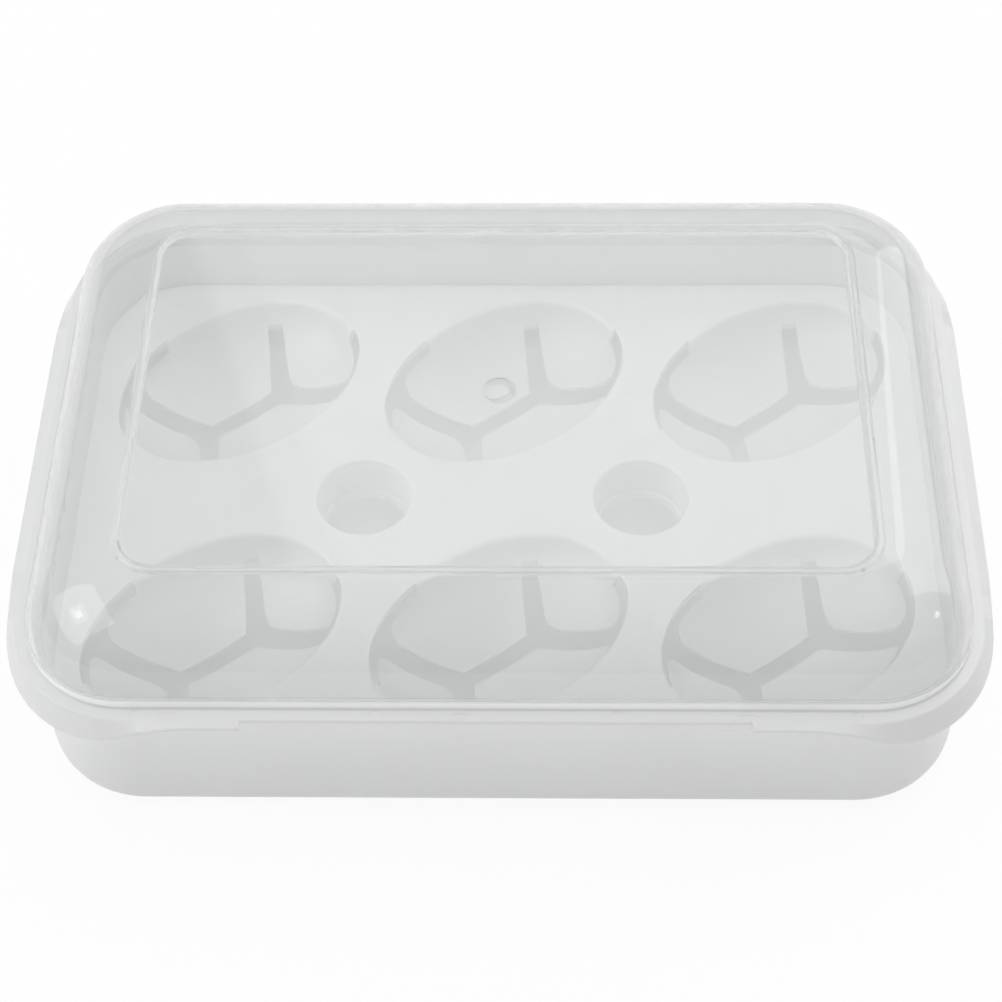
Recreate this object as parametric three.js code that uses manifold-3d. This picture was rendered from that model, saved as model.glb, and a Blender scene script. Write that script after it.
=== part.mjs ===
// Egg box for six eggs: a deep base, a lift-out tray with six slotted seats, and a domed lid.
// Millimetres, +Z up, the front towards -Y. The origin is the middle of the base's flat underside.

import * as THREE from 'three';
import { mergeVertices } from 'three/addons/utils/BufferGeometryUtils.js';
import Module from 'manifold-3d';

const wasm = await Module();
wasm.setup();

// Egg seats: half an ellipsoid each, turned so that the egg lies across its column
const seatColumns = 3;
const seatRows = 2;
const seatLength = 63.8;
const seatBreadth = 46;
const seatDepth = 14.2;
const seatWall = 1.2;
const seatRimRound = 1.2;
const seatTurn = THREE.MathUtils.degToRad(37.6);
const columnGap = 7.2;
const rowGap = 20.7;

// From the outermost seats to the edge of the lid's flange, from which every wall is set in
const endMargin = 10.8;
const sideMargin = 9.7;
const rimCornerRadius = 25.8;

// Clearance between pieces that touch, and how far cutting shapes run past what they cut
const fitGap = 0.3;
const cutOverrun = 2;

// Base
const baseHeight = 39.8;
const baseInset = 2.5;
const baseWall = 1.4;
const baseFloor = 1.6;
const baseFillet = 8;
const baseInnerFillet = 6;
const rimBandHeight = 7;
const rimBandProud = 0.3;
const ledgeWidth = 1.1;
const notchWidth = 14;
const notchFootWidth = 7.6;
const notchDepth = 10;
const notchWeb = 0.6;

// Egg tray
const trayTop = 24;
const trayPlate = 1.2;
const traySkirtDepth = 5;
const traySkirtFlare = 0.3;
const trayEdgeRound = 0.8;

// Slots that part each seat into four petals, placed by shares of the seat's half length and half breadth.
// A link through the middle ends in two junctions. From each, an open branch runs towards the rim, and an
// arc branch runs to the slot along the rim.
const linkBreadth = 4.3;
const openBranchBreadth = 5;
const openBranchEndBreadth = 3.8;
const arcBranchBreadth = 5.7;
const petalRound = 4;
const petalTipRound = 3;
const junctionShare = 0.35;
const openBranchShares = { along: 0.63, across: 0.68 };
const arcBranchShares = { along: 0.72, across: -0.69 };
const rimSlotOuterShare = 1.045;
const rimSlotInnerShare = 0.985;
const rimSlotStart = THREE.MathUtils.degToRad(-70.6);
const rimSlotEnd = THREE.MathUtils.degToRad(-6.6);

// Finger holes between the seats
const holeDiameter = 22.1;
const holeRimRound = 0.6;
const tubeDepth = 13.5;
const tubeWall = 1.2;
const tubeTaper = 0.5;
const tubeStepHeight = 2.6;
const tubeStepIn = 0.4;

// Lid
const lidTop = 62.5;
const lidWall = 1.2;
const flangeThickness = 1.2;
const domeInset = 2.64;
const domeRise = 20;
const domeRoundEnds = 20.3;
const domeRoundSides = 19.6;
const crownCornerRadius = 9.9;
const beadWidth = 2.3;
const beadHeight = 0.8;
const beadSlope = 0.8;
const plugWall = 1.2;
const plugDepth = 1.4;
const lipWidth = 2.4;
const lipRise = 0.6;
const lipGapWidth = 107.4;
const dimpleDiameter = 7.5;
const dimpleDepth = 0.5;

// Ears: the lip turns down at each corner
const earDrop = 6;
const earFlat = 8;
const earReach = 37;

// Facets
const cornerSteps = 8;
const filletSteps = 4;
const domeSteps = 6;
const roundSteps = 2;
const seatSides = 32;
const seatSteps = 5;
const holeSides = 28;
const rimSlotSteps = 8;

// Sizes that follow from those above
const seatSpanX = Math.hypot(seatLength * Math.cos(seatTurn), seatBreadth * Math.sin(seatTurn));
const seatSpanY = Math.hypot(seatLength * Math.sin(seatTurn), seatBreadth * Math.cos(seatTurn));
const columnPitch = seatSpanX + columnGap;
const rowPitch = seatSpanY + rowGap;
const rimLength = (seatColumns - 1) * columnPitch + seatSpanX + 2 * endMargin;
const rimWidth = (seatRows - 1) * rowPitch + seatSpanY + 2 * sideMargin;
const baseInnerInset = baseInset + baseWall;
const trayInset = baseInnerInset + fitGap + traySkirtFlare;
const ledgeTop = trayTop - traySkirtDepth - fitGap;
const flangeUnder = baseHeight + fitGap;
const flangeTop = flangeUnder + flangeThickness;
const lipTop = flangeTop + lipRise;
const domeFoot = lidTop - domeRise;
const holeRadius = holeDiameter / 2;
const lipRadius = rimCornerRadius + lipWidth;
const seatHalfLength = seatLength / 2 - seatRimRound;
const seatHalfBreadth = seatBreadth / 2 - seatRimRound;
const seatWidestHeight = trayTop - seatRimRound;
const seatFloor = trayTop - seatDepth;

// Outlines

// The rim's rounded rectangle, set in by one distance all round
function setIn(inset) {
  return {
    halfLength: rimLength / 2 - inset,
    halfWidth: rimWidth / 2 - inset,
    radius: rimCornerRadius - inset
  };
}

// The rounded rectangle a share of the way from one to another
function between(start, end, share) {
  return {
    halfLength: THREE.MathUtils.lerp(start.halfLength, end.halfLength, share),
    halfWidth: THREE.MathUtils.lerp(start.halfWidth, end.halfWidth, share),
    radius: THREE.MathUtils.lerp(start.radius, end.radius, share)
  };
}

// Places round one corner: its arc, with the runs before and after it on the straights
function cornerPlaces(runs) {
  const before = runs.map((run) => ({ turnShare: 0, run: -run }));
  const arc = Array.from({ length: cornerSteps + 1 }, (_, step) => ({ turnShare: step / cornerSteps, run: 0 }));
  const after = runs.toReversed().map((run) => ({ turnShare: 1, run }));
  return [...before, ...arc, ...after];
}

// Points round a rounded rectangle at one height, lowered near its corners where a drop is given
function outline(plan, height, runs = [], drop = 0) {
  const points = [];
  for (let corner = 0; corner < 4; corner += 1) {
    const centre = new THREE.Vector2(
      (corner === 0 || corner === 3 ? 1 : -1) * (plan.halfLength - plan.radius),
      (corner < 2 ? 1 : -1) * (plan.halfWidth - plan.radius)
    );
    for (const place of cornerPlaces(runs)) {
      const angle = (corner + place.turnShare) * Math.PI / 2;
      const outward = new THREE.Vector2(Math.cos(angle), Math.sin(angle));
      const onward = new THREE.Vector2(-outward.y, outward.x);
      const point = centre.clone().addScaledVector(outward, plan.radius).addScaledVector(onward, place.run);
      points.push(new THREE.Vector3(point.x, point.y, height - drop * earShare(place)));
    }
  }
  return points;
}

// How much of the ear's drop a place round a corner takes
function earShare(place) {
  const fromMiddle = Math.abs(place.turnShare - 0.5) * lipRadius * Math.PI / 2 + Math.abs(place.run);
  const fallen = THREE.MathUtils.clamp((fromMiddle - earFlat) / (earReach - earFlat), 0, 1);
  return (1 + Math.cos(Math.PI * fallen)) / 2;
}

// Points round an ellipse at one height
function ellipse(halfLength, halfBreadth, height, sides) {
  return Array.from({ length: sides }, (_, side) => {
    const angle = side / sides * Math.PI * 2;
    return new THREE.Vector3(halfLength * Math.cos(angle), halfBreadth * Math.sin(angle), height);
  });
}

// Solids

// A closed body through a stack of outlines; the first is capped facing down, the last facing up
function loft(outlines, startHeight = outlines[0][0].z, endHeight = outlines.at(-1)[0].z) {
  const count = outlines[0].length;
  const points = outlines.flat();
  const start = points.length;
  const end = start + 1;
  points.push(new THREE.Vector3(0, 0, startHeight), new THREE.Vector3(0, 0, endHeight));
  const faces = [];
  for (let side = 0; side < count; side += 1) {
    const next = (side + 1) % count;
    const last = (outlines.length - 1) * count;
    faces.push(start, next, side);
    faces.push(end, last + side, last + next);
    for (let ring = 0; ring < last; ring += count) {
      faces.push(ring + side, ring + next, ring + count + next);
      faces.push(ring + side, ring + count + next, ring + count + side);
    }
  }
  const geometry = new THREE.BufferGeometry().setFromPoints(points);
  geometry.setIndex(faces);
  return geometry;
}

function solid(geometry) {
  const bare = geometry.clone();
  bare.deleteAttribute('normal');
  bare.deleteAttribute('uv');
  const merged = mergeVertices(bare);
  return new wasm.Manifold(new wasm.Mesh({
    numProp: 3,
    vertProperties: merged.attributes.position.array,
    triVerts: new Uint32Array(merged.index.array)
  }));
}

function mesh(name, body, material) {
  const data = body.getMesh();
  const geometry = new THREE.BufferGeometry();
  geometry.setAttribute('position', new THREE.BufferAttribute(data.vertProperties, 3));
  geometry.setIndex(new THREE.BufferAttribute(data.triVerts, 1));
  geometry.computeVertexNormals();
  const piece = new THREE.Mesh(geometry, material);
  piece.name = name;
  return piece;
}

// Base: rounded tub with a ledge for the tray and a blind finger notch outside its back rim

function baseBody() {
  const lowerInset = baseInset + rimBandProud;
  const innerInset = baseInnerInset + ledgeWidth;
  const rings = [];
  for (let step = 0; step <= filletSteps; step += 1) {
    const angle = step / filletSteps * Math.PI / 2;
    const plan = setIn(lowerInset + baseFillet * (1 - Math.sin(angle)));
    rings.push(outline(plan, baseFillet * (1 - Math.cos(angle))));
  }
  rings.push(outline(setIn(lowerInset), baseHeight - rimBandHeight));
  rings.push(outline(setIn(baseInset), baseHeight - rimBandHeight + rimBandProud));
  rings.push(outline(setIn(baseInset), baseHeight));
  rings.push(outline(setIn(baseInnerInset), baseHeight));
  rings.push(outline(setIn(baseInnerInset), ledgeTop));
  rings.push(outline(setIn(innerInset), ledgeTop));
  for (let step = filletSteps; step >= 0; step -= 1) {
    const angle = step / filletSteps * Math.PI / 2;
    const plan = setIn(innerInset + baseInnerFillet * (1 - Math.sin(angle)));
    rings.push(outline(plan, baseFloor + baseInnerFillet * (1 - Math.cos(angle))));
  }
  return solid(loft(rings)).subtract(notchBody());
}

function notchBody() {
  const slope = (notchWidth - notchFootWidth) / 2 / notchDepth;
  const halfTop = notchWidth / 2 + slope * cutOverrun;
  const shape = new THREE.Shape();
  shape.moveTo(-notchFootWidth / 2, baseHeight - notchDepth);
  shape.lineTo(notchFootWidth / 2, baseHeight - notchDepth);
  shape.lineTo(halfTop, baseHeight + cutOverrun);
  shape.lineTo(-halfTop, baseHeight + cutOverrun);
  shape.closePath();
  const depth = baseWall - notchWeb + cutOverrun;
  const geometry = new THREE.ExtrudeGeometry(shape, { depth, bevelEnabled: false });
  geometry.rotateX(Math.PI / 2);
  geometry.translate(0, rimWidth / 2 - baseInset + cutOverrun, 0);
  return solid(geometry);
}

// Egg tray: plate with a turned-down skirt, six slotted seats and two finger holes

function plateBody() {
  const skirtFoot = trayTop - traySkirtDepth;
  const rings = [
    outline(setIn(trayInset + trayPlate), trayTop - trayPlate),
    outline(setIn(trayInset - traySkirtFlare + trayPlate), skirtFoot),
    outline(setIn(trayInset - traySkirtFlare), skirtFoot)
  ];
  for (let step = 0; step <= roundSteps; step += 1) {
    const angle = step / roundSteps * Math.PI / 2;
    const plan = setIn(trayInset + trayEdgeRound * (1 - Math.cos(angle)));
    rings.push(outline(plan, trayTop - trayEdgeRound * (1 - Math.sin(angle))));
  }
  return solid(loft(rings));
}

// Half an ellipsoid, open upwards: rings from near its lowest point to its widest
function bowlRings(halfLength, halfBreadth, depth, widestHeight) {
  const rings = [];
  for (let step = 1; step <= seatSteps; step += 1) {
    const angle = step / seatSteps * Math.PI / 2;
    const share = Math.sin(angle);
    const height = widestHeight - depth * Math.cos(angle);
    rings.push(ellipse(halfLength * share, halfBreadth * share, height, seatSides));
  }
  return rings;
}

function seatOutside() {
  const halfLength = seatHalfLength + seatWall;
  const halfBreadth = seatHalfBreadth + seatWall;
  const depth = seatWidestHeight - seatFloor + seatWall;
  const widest = Math.min(seatWidestHeight, trayTop - trayPlate);
  const rings = bowlRings(halfLength, halfBreadth, depth, widest);
  rings.push(ellipse(halfLength, halfBreadth, trayTop - trayPlate / 2, seatSides));
  return solid(loft(rings, seatFloor - seatWall).rotateZ(seatTurn));
}

function seatInside() {
  const rings = bowlRings(seatHalfLength, seatHalfBreadth, seatWidestHeight - seatFloor, seatWidestHeight);
  for (let step = 1; step <= roundSteps; step += 1) {
    const angle = step / roundSteps * Math.PI / 2;
    const out = seatRimRound * (1 - Math.cos(angle));
    const height = seatWidestHeight + seatRimRound * Math.sin(angle);
    rings.push(ellipse(seatHalfLength + out, seatHalfBreadth + out, height, seatSides));
  }
  const mouth = seatRimRound;
  rings.push(ellipse(seatHalfLength + mouth, seatHalfBreadth + mouth, trayTop + cutOverrun, seatSides));
  return solid(loft(rings, seatFloor).rotateZ(seatTurn));
}

// A cutter of the given outline, in the seat's own axes, through the whole seat
function seatCutter(shape) {
  const foot = seatFloor - seatWall - cutOverrun;
  const depth = trayTop + cutOverrun - foot;
  const geometry = new THREE.ExtrudeGeometry(shape, { depth, bevelEnabled: false, curveSegments: roundSteps });
  geometry.translate(0, 0, foot);
  geometry.rotateZ(seatTurn);
  return solid(geometry);
}

function seatPlace({ along, across }) {
  return new THREE.Vector2(along * seatHalfLength, across * seatHalfBreadth);
}

// A straight slot, as its shape and the lines of its two sides
function straightSlot(from, to, breadthFrom, breadthTo) {
  const onward = to.clone().sub(from).normalize();
  const sideways = new THREE.Vector2(-onward.y, onward.x);
  const right = [
    from.clone().addScaledVector(sideways, -breadthFrom / 2),
    to.clone().addScaledVector(sideways, -breadthTo / 2)
  ];
  const left = [
    from.clone().addScaledVector(sideways, breadthFrom / 2),
    to.clone().addScaledVector(sideways, breadthTo / 2)
  ];
  return { shape: new THREE.Shape([...right, ...left.toReversed()]), right, left };
}

// The place at a share of the seat's half length and half breadth, in the direction of an angle
function rimPlace(share, angle) {
  const direction = new THREE.Vector2(Math.cos(angle), Math.sin(angle));
  const reach = Math.hypot(direction.x / seatHalfLength, direction.y / seatHalfBreadth);
  return direction.multiplyScalar(share / reach);
}

// The slot that follows the seat's rim
function rimSlotShape() {
  const angles = Array.from({ length: rimSlotSteps + 1 }, (_, step) => (
    THREE.MathUtils.lerp(rimSlotStart, rimSlotEnd, step / rimSlotSteps)
  ));
  const outer = angles.map((angle) => rimPlace(rimSlotOuterShare, angle));
  const inner = angles.toReversed().map((angle) => rimPlace(rimSlotInnerShare, angle));
  return new THREE.Shape([...outer, ...inner]);
}

// Where two lines meet, each given by two of its points
function meeting([firstStart, firstEnd], [secondStart, secondEnd]) {
  const first = firstEnd.clone().sub(firstStart);
  const second = secondEnd.clone().sub(secondStart);
  const apart = secondStart.clone().sub(firstStart);
  return firstStart.clone().addScaledVector(first, apart.cross(second) / first.cross(second));
}

// Where a line from inside the seat meets the inner edge of the slot that follows its rim
function meetingRim([start, end]) {
  const scale = new THREE.Vector2(seatHalfLength, seatHalfBreadth).multiplyScalar(rimSlotInnerShare);
  const from = start.clone().divide(scale);
  const onward = end.clone().sub(start).divide(scale);
  const across = from.cross(onward);
  const forward = Math.sqrt(onward.lengthSq() - across * across) - from.dot(onward);
  return start.clone().addScaledVector(end.clone().sub(start), forward / onward.lengthSq());
}

// The wedge between points in the slots and a petal's corner, which it rounds from start to end
function roundShape(inSlots, start, corner, end) {
  const shape = new THREE.Shape([...inSlots, start]);
  shape.quadraticCurveTo(corner.x, corner.y, end.x, end.y);
  shape.closePath();
  return shape;
}

// The round of a petal's corner between one side of the branch to the rim and the slot along the rim
function tipRoundShape(side, branchEnd, turn) {
  const corner = meetingRim(side);
  const alongBranch = side[0].clone().sub(side[1]).setLength(petalTipRound).add(corner);
  const angle = corner.angle() + turn * petalTipRound / corner.length();
  const alongRim = rimPlace(rimSlotInnerShare, angle);
  const inRimSlot = rimPlace(1, angle);
  return turn > 0
    ? roundShape([branchEnd, inRimSlot], alongRim, corner, alongBranch)
    : roundShape([inRimSlot, branchEnd], alongBranch, corner, alongRim);
}

// Half of a seat's slots; the other half is the same turned half round
function halfSlots() {
  const junction = seatPlace({ along: junctionShare, across: 0 });
  const openEnd = seatPlace(openBranchShares);
  const arcEnd = seatPlace(arcBranchShares);
  const overlap = junction.clone().setLength(junction.length() + linkBreadth / 2);
  const behind = junction.clone().multiplyScalar(-junctionShare);
  const link = straightSlot(behind, overlap, linkBreadth, linkBreadth);
  const open = straightSlot(junction, openEnd, openBranchBreadth, openBranchEndBreadth);
  const arc = straightSlot(junction, arcEnd, arcBranchBreadth, arcBranchBreadth);
  const corner = meeting(open.right, arc.left);
  const onOpen = open.right[1].clone().sub(corner).setLength(petalRound).add(corner);
  const onArc = arc.left[1].clone().sub(corner).setLength(petalRound).add(corner);
  const shapes = [
    link.shape,
    open.shape,
    arc.shape,
    rimSlotShape(),
    roundShape([junction], onArc, corner, onOpen),
    tipRoundShape(arc.left, arcEnd, 1),
    tipRoundShape(arc.right, arcEnd, -1)
  ];
  return wasm.Manifold.union(shapes.map(seatCutter));
}

function fingerHole() {
  const footHeight = trayTop - tubeDepth;
  const footRadius = holeRadius - tubeTaper;
  const stepHeight = footHeight + tubeStepHeight;
  const circle = (radius, height) => ellipse(radius, radius, height, holeSides);
  const outside = [
    circle(footRadius - tubeStepIn + tubeWall, footHeight),
    circle(footRadius - tubeStepIn + tubeWall, stepHeight),
    circle(footRadius + tubeWall, stepHeight + tubeStepIn),
    circle(holeRadius + tubeWall, trayTop - trayPlate / 2)
  ];
  const inside = [
    circle(footRadius - tubeStepIn, footHeight - cutOverrun),
    circle(footRadius - tubeStepIn, stepHeight),
    circle(footRadius, stepHeight + tubeStepIn),
    circle(holeRadius, trayTop - holeRimRound),
    circle(holeRadius + holeRimRound, trayTop),
    circle(holeRadius + holeRimRound, trayTop + cutOverrun)
  ];
  return { outside: solid(loft(outside)), inside: solid(loft(inside)) };
}

function trayBody() {
  const outside = seatOutside();
  const slots = halfSlots();
  const inside = wasm.Manifold.union([seatInside(), slots, slots.rotate([0, 0, 180])]);
  const hole = fingerHole();
  const added = [plateBody()];
  const cut = [];
  for (let column = 0; column < seatColumns; column += 1) {
    const x = (column - (seatColumns - 1) / 2) * columnPitch;
    for (let row = 0; row < seatRows; row += 1) {
      const y = (row - (seatRows - 1) / 2) * rowPitch;
      added.push(outside.translate([x, y, 0]));
      cut.push(inside.translate([x, y, 0]));
    }
  }
  for (let gap = 0; gap < seatColumns - 1; gap += 1) {
    const x = (gap - (seatColumns - 2) / 2) * columnPitch;
    added.push(hole.outside.translate([x, 0, 0]));
    cut.push(hole.inside.translate([x, 0, 0]));
  }
  return wasm.Manifold.union(added).subtract(wasm.Manifold.union(cut));
}

// Lid: flange with a lip that turns down at the corners, rounded dome, and a bead round the flat top

function lidBody() {
  const earRun = earReach - lipRadius * Math.PI / 4;
  const ring = (plan, height, drop = 0) => outline(plan, height, [earRun, earRun / 2], drop);
  const crown = {
    halfLength: rimLength / 2 - domeInset - domeRoundEnds,
    halfWidth: rimWidth / 2 - domeInset - domeRoundSides,
    radius: crownCornerRadius
  };
  const crownSetIn = (inset) => ({
    halfLength: crown.halfLength - inset,
    halfWidth: crown.halfWidth - inset,
    radius: crown.radius - inset
  });
  const dome = (foot, top) => Array.from({ length: domeSteps + 1 }, (_, step) => {
    const angle = step / domeSteps * Math.PI / 2;
    return ring(between(foot, crown, 1 - Math.cos(angle)), domeFoot + (top - domeFoot) * Math.sin(angle));
  });
  const plugOuter = baseInnerInset + fitGap;
  const plugInner = plugOuter + plugWall;
  const rings = [
    ...dome(setIn(domeInset + lidWall), lidTop - lidWall).toReversed(),
    ring(setIn(plugInner), flangeTop),
    ring(setIn(plugInner), flangeUnder - plugDepth),
    ring(setIn(plugOuter), flangeUnder - plugDepth),
    ring(setIn(plugOuter), flangeUnder),
    ring(setIn(0), flangeUnder),
    ring(setIn(-lipWidth), lipTop - flangeThickness, earDrop),
    ring(setIn(-lipWidth), lipTop, earDrop),
    ring(setIn(0), flangeTop),
    ring(setIn(domeInset), flangeTop),
    ...dome(setIn(domeInset), lidTop),
    ring(crownSetIn(beadSlope), lidTop + beadHeight),
    ring(crownSetIn(beadWidth - beadSlope), lidTop + beadHeight),
    ring(crownSetIn(beadWidth), lidTop)
  ];
  return solid(loft(rings)).subtract(wasm.Manifold.union([lipGapBody(), dimpleBody()]));
}

// The lip is left off along the middle of the front, where a thumb lifts the lid
function lipGapBody() {
  const depth = lipWidth + cutOverrun;
  const geometry = new THREE.BoxGeometry(lipGapWidth, depth, flangeThickness + lipRise + 2 * cutOverrun);
  geometry.translate(0, -(rimWidth + depth) / 2, (flangeUnder + lipTop) / 2);
  return solid(geometry);
}

function dimpleBody() {
  const radius = dimpleDiameter / 2;
  const circle = (share, height) => ellipse(radius * share, radius * share, height, holeSides);
  const halfDepthShare = Math.SQRT1_2;
  return solid(loft([
    circle(halfDepthShare, lidTop - dimpleDepth / 2),
    circle(1, lidTop),
    circle(1, lidTop + cutOverrun)
  ], lidTop - dimpleDepth));
}

// Clear and milky polypropylene

function plastic(color, opacity, roughness) {
  return new THREE.MeshStandardMaterial({ color, roughness, metalness: 0, transparent: true, opacity });
}

const eggBox = new THREE.Group();
eggBox.add(mesh('base', baseBody(), plastic('#eef0f0', 0.7, 0.35)));
eggBox.add(mesh('egg_tray', trayBody(), plastic('#f1f3f3', 0.8, 0.35)));
eggBox.add(mesh('lid', lidBody(), plastic('#f6f8f8', 0.35, 0.2)));

export default eggBox;
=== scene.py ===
import math

import bmesh
import bpy
import numpy as np
from mathutils import Matrix, Quaternion, Vector


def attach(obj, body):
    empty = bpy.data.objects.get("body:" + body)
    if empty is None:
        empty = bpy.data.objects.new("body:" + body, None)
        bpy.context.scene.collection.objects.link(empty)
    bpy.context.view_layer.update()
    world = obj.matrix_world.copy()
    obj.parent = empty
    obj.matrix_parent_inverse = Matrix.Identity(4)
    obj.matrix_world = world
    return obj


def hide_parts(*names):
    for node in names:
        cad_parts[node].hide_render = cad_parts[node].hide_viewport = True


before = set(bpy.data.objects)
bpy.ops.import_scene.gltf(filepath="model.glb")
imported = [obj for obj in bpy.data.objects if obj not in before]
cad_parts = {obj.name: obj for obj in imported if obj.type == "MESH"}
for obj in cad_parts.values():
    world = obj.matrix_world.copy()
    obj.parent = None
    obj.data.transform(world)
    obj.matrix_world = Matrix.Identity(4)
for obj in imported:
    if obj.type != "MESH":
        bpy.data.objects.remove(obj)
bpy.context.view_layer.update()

# Looks of a lidded egg box for six eggs: a cloudy base, a cloudy lift-out tray and a clear domed lid.
# Metres, +Z up, the front towards -Y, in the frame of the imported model.

MM = 0.001

# Egg seats
SEAT_COLUMNS = 3
SEAT_ROWS = 2
SEAT_LENGTH = 63.8 * MM
SEAT_BREADTH = 46 * MM
SEAT_DEPTH = 14.2 * MM
SEAT_WALL = 1.2 * MM
SEAT_RIM_ROUND = 1.2 * MM
SEAT_TURN = math.radians(37.6)
COLUMN_GAP = 7.2 * MM
ROW_GAP = 20.7 * MM

# From the outermost seats to the edge of the lid's flange, from which every wall is set in
END_MARGIN = 10.8 * MM
SIDE_MARGIN = 9.7 * MM
RIM_CORNER_RADIUS = 25.8 * MM
FIT_GAP = 0.3 * MM
CUT_OVERRUN = 2 * MM

# Base
BASE_HEIGHT = 39.8 * MM
BASE_INSET = 2.5 * MM
BASE_WALL = 1.4 * MM
BASE_FLOOR = 1.6 * MM
BASE_FILLET = 8 * MM
BASE_INNER_FILLET = 6 * MM
RIM_BAND_HEIGHT = 7 * MM
RIM_BAND_PROUD = 0.3 * MM
LEDGE_WIDTH = 1.1 * MM
NOTCH_WIDTH = 14 * MM
NOTCH_FOOT_WIDTH = 7.6 * MM
NOTCH_DEPTH = 10 * MM
NOTCH_WEB = 0.6 * MM

# Egg tray
TRAY_TOP = 24 * MM
TRAY_PLATE = 1.2 * MM
TRAY_SKIRT_DEPTH = 5 * MM
TRAY_SKIRT_FLARE = 0.3 * MM
TRAY_EDGE_ROUND = 0.8 * MM

# Slots that part each seat into four petals, placed by shares of the seat's half length and breadth
LINK_BREADTH = 4.3 * MM
OPEN_BRANCH_BREADTH = 5 * MM
OPEN_BRANCH_END_BREADTH = 3.8 * MM
ARC_BRANCH_BREADTH = 5.7 * MM
PETAL_ROUND = 4 * MM
PETAL_TIP_ROUND = 3 * MM
JUNCTION_SHARE = 0.35
OPEN_BRANCH_SHARES = (0.63, 0.68)
ARC_BRANCH_SHARES = (0.72, -0.69)
RIM_SLOT_OUTER_SHARE = 1.045
RIM_SLOT_INNER_SHARE = 0.985
RIM_SLOT_START = math.radians(-70.6)
RIM_SLOT_END = math.radians(-6.6)

# Finger holes
HOLE_RADIUS = 11.05 * MM
HOLE_RIM_ROUND = 0.6 * MM
TUBE_DEPTH = 13.5 * MM
TUBE_WALL = 1.2 * MM
TUBE_TAPER = 0.5 * MM
TUBE_STEP_HEIGHT = 2.6 * MM
TUBE_STEP_IN = 0.4 * MM

# Lid
LID_TOP = 62.5 * MM
LID_WALL = 1.2 * MM
FLANGE_THICKNESS = 1.2 * MM
DOME_INSET = 2.64 * MM
DOME_RISE = 20 * MM
DOME_ROUND_ENDS = 20.3 * MM
DOME_ROUND_SIDES = 19.6 * MM
CROWN_CORNER_RADIUS = 9.9 * MM
BEAD_WIDTH = 2.3 * MM
BEAD_HEIGHT = 0.8 * MM
BEAD_SLOPE = 0.8 * MM
PLUG_WALL = 1.2 * MM
PLUG_DEPTH = 1.4 * MM
LIP_WIDTH = 2.4 * MM
LIP_RISE = 0.6 * MM
LIP_GAP_WIDTH = 107.4 * MM
DIMPLE_RADIUS = 3.75 * MM
DIMPLE_DEPTH = 0.5 * MM
EAR_DROP = 6 * MM
EAR_FLAT = 8 * MM
EAR_REACH = 37 * MM

# Mould marks on the front of the lid's flange
MARK_DEPTH = 0.12 * MM
ROUND_MARK_RADIUS = 1.2 * MM
ROUND_MARK_PLACES = (-75.7 * MM, -25.3 * MM, 25.3 * MM, 75.7 * MM)
LONG_MARK_LENGTH = 4.5 * MM
LONG_MARK_BREADTH = 1 * MM
LONG_MARK_PLACES = (-69 * MM, -7 * MM, 53 * MM)

# Softening of moulded edges, which starts no further from a corner than a share of the way to the next
EDGE_ROUND = 0.35 * MM
LONGEST_ROUND_SHARE = 0.45

# Fineness
CORNER_STEPS = 20
EAR_STEPS = 6
FILLET_STEPS = 8
DOME_STEPS = 18
ROUND_STEPS = 4
SEAT_SIDES = 96
SEAT_STEPS = 14
HOLE_SIDES = 64
RIM_SLOT_STEPS = 20
CURVE_STEPS = 8
SHARP_ANGLE = math.radians(35)
SLIVER = 0.001 * MM

# Plastic: painted light and shade multiply its colour, and tilts are the share of a face's normal along
# Z
PLASTIC_IOR = 1.49
HAZE_DETAIL = 3
GLOSS_SPREAD = 0.2
# Painted shade greys the tub's walls towards the foot, and painted light brightens its upward faces
BASE_FOOT_PAINTED_SHADE = 0.88
BASE_FLOOR_PAINTED_LIGHT = 1.08
BASE_FLOOR_TILTS = (0.6, 0.95)
# Painted light whitens the tray's upright faces
UPRIGHT_PAINTED_LIGHT = 1.2
UPRIGHT_TILTS = (0.04, 0.07)
# Painted shade greys the lid's flange and lip, and painted light brightens the cloudy foot of its dome
FLANGE_PAINTED_SHADE = 0.77
DOME_FOOT_PAINTED_LIGHT = 1.2
FLANGE_TRANSMISSION = 0.15
DOME_TRANSMISSION = 0.8

# Floor: white paper that glows for the camera, and more faintly in reflections and through the plastic
FLOOR_REACH = 6.0
PAPER_TONE = 0.9
FLOOR_GLOW = 0.85
FLOOR_GLOW_IN_PLASTIC = 0.3

# Brightness of the studio's dome at the horizon and overhead
SKY_LOW = 0.485
SKY_HIGH = 0.94

# The photograph's camera: measured in pixels of its frame and turned about the middle of the tray's top
PHOTO_PIXELS = 1002
FOCAL_PIXELS = 2312.3
SENSOR_WIDTH_MM = 36
CAMERA_PITCH = math.radians(51.565)
CAMERA_YAW = math.radians(-2.1876)
CAMERA_ROLL = math.radians(1.6107)
CAMERA_DISTANCE = 542.994 * MM
CAMERA_OFFSET_X = -0.318 * MM
CAMERA_OFFSET_Y = -0.616 * MM

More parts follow.
